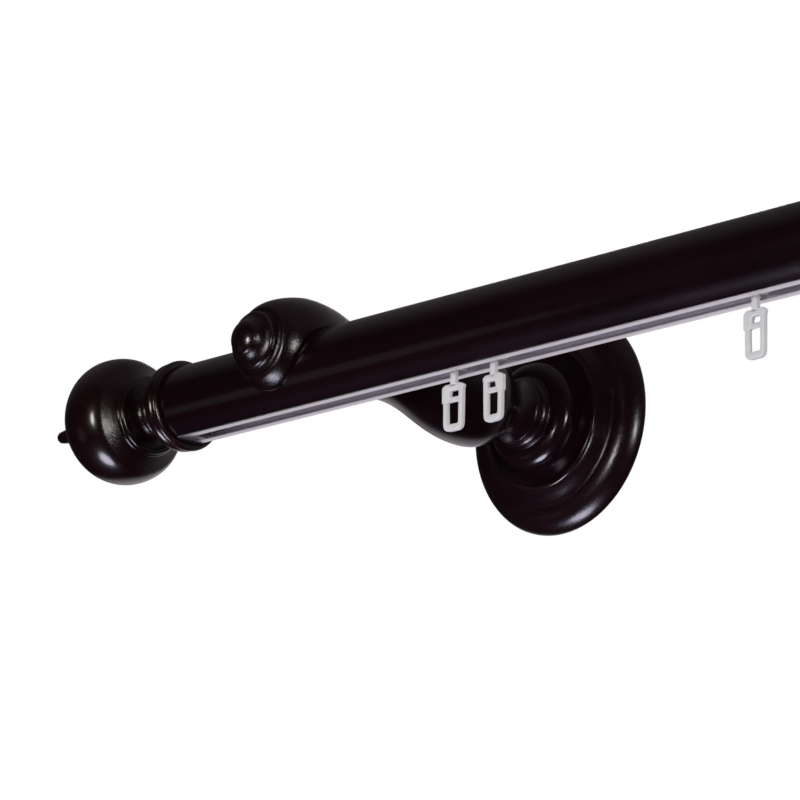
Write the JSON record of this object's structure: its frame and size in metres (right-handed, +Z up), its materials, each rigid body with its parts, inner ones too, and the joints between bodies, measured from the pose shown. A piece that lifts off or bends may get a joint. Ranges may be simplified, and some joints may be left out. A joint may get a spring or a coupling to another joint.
{
  "type": "wooden curtain rod",
  "caption": "Dark turned wooden curtain rod on wall brackets, with ball finials and a metal track in its underside where plastic gliders slide.",
  "frame": {"origin": "on the wall plane, midway between the two brackets, at the height of their arms", "axes": "+X along the rod, +Y into the wall, +Z up"},
  "size_m": [1.134, 0.1622, 0.083],
  "materials": {
    "dark_wood": "stained and lacquered, glossy",
    "track_metal": "mill finish",
    "white_plastic": "moulded, slightly translucent",
    "clear_plastic": "moulded",
    "screw_steel": "zinc plated",
    "insert_brass": "turned"
  },
  "bodies": {
    "rod_set": {"rod": "dark_wood", "track": "track_metal", "end_stop_left": "clear_plastic", "end_stop_right": "clear_plastic", "finial_left": "dark_wood", "finial_right": "dark_wood", "finial_screws": "screw_steel", "arm_left": "dark_wood", "arm_right": "dark_wood", "rose_left": "dark_wood", "rose_right": "dark_wood", "arm_screws": "screw_steel", "rod_screws": "screw_steel", "track_screws": "screw_steel", "wall_inserts": "insert_brass"},
    "glider_1_body": {"glider_1": "white_plastic"},
    "glider_2_body": {"glider_2": "white_plastic"},
    "glider_3_body": {"glider_3": "white_plastic"},
    "glider_4_body": {"glider_4": "white_plastic"},
    "glider_5_body": {"glider_5": "white_plastic"},
    "glider_6_body": {"glider_6": "white_plastic"},
    "glider_7_body": {"glider_7": "white_plastic"},
    "glider_8_body": {"glider_8": "white_plastic"},
    "glider_9_body": {"glider_9": "white_plastic"},
    "glider_10_body": {"glider_10": "white_plastic"}
  },
  "joints": [
    {"name": "glider_1_slide", "type": "slide", "parent": "rod_set", "child": "glider_1_body", "axis": [1, 0, 0], "range_m": [-0.119, 0.0036]},
    {"name": "glider_2_slide", "type": "slide", "parent": "rod_set", "child": "glider_2_body", "axis": [1, 0, 0], "range_m": [-0.0037, 0.0511]},
    {"name": "glider_3_slide", "type": "slide", "parent": "rod_set", "child": "glider_3_body", "axis": [1, 0, 0], "range_m": [-0.051, 0.0475]},
    {"name": "glider_4_slide", "type": "slide", "parent": "rod_set", "child": "glider_4_body", "axis": [1, 0, 0], "range_m": [-0.0476, 0.0355]},
    {"name": "glider_5_slide", "type": "slide", "parent": "rod_set", "child": "glider_5_body", "axis": [1, 0, 0], "range_m": [-0.0355, 0.0435]},
    {"name": "glider_6_slide", "type": "slide", "parent": "rod_set", "child": "glider_6_body", "axis": [1, 0, 0], "range_m": [-0.0435, 0.039]},
    {"name": "glider_7_slide", "type": "slide", "parent": "rod_set", "child": "glider_7_body", "axis": [1, 0, 0], "range_m": [-0.039, 0.0435]},
    {"name": "glider_8_slide", "type": "slide", "parent": "rod_set", "child": "glider_8_body", "axis": [1, 0, 0], "range_m": [-0.0435, 0.0405]},
    {"name": "glider_9_slide", "type": "slide", "parent": "rod_set", "child": "glider_9_body", "axis": [1, 0, 0], "range_m": [-0.0405, 0.005]},
    {"name": "glider_10_slide", "type": "slide", "parent": "rod_set", "child": "glider_10_body", "axis": [1, 0, 0], "range_m": [-0.005, 0.1325]}
  ]
}
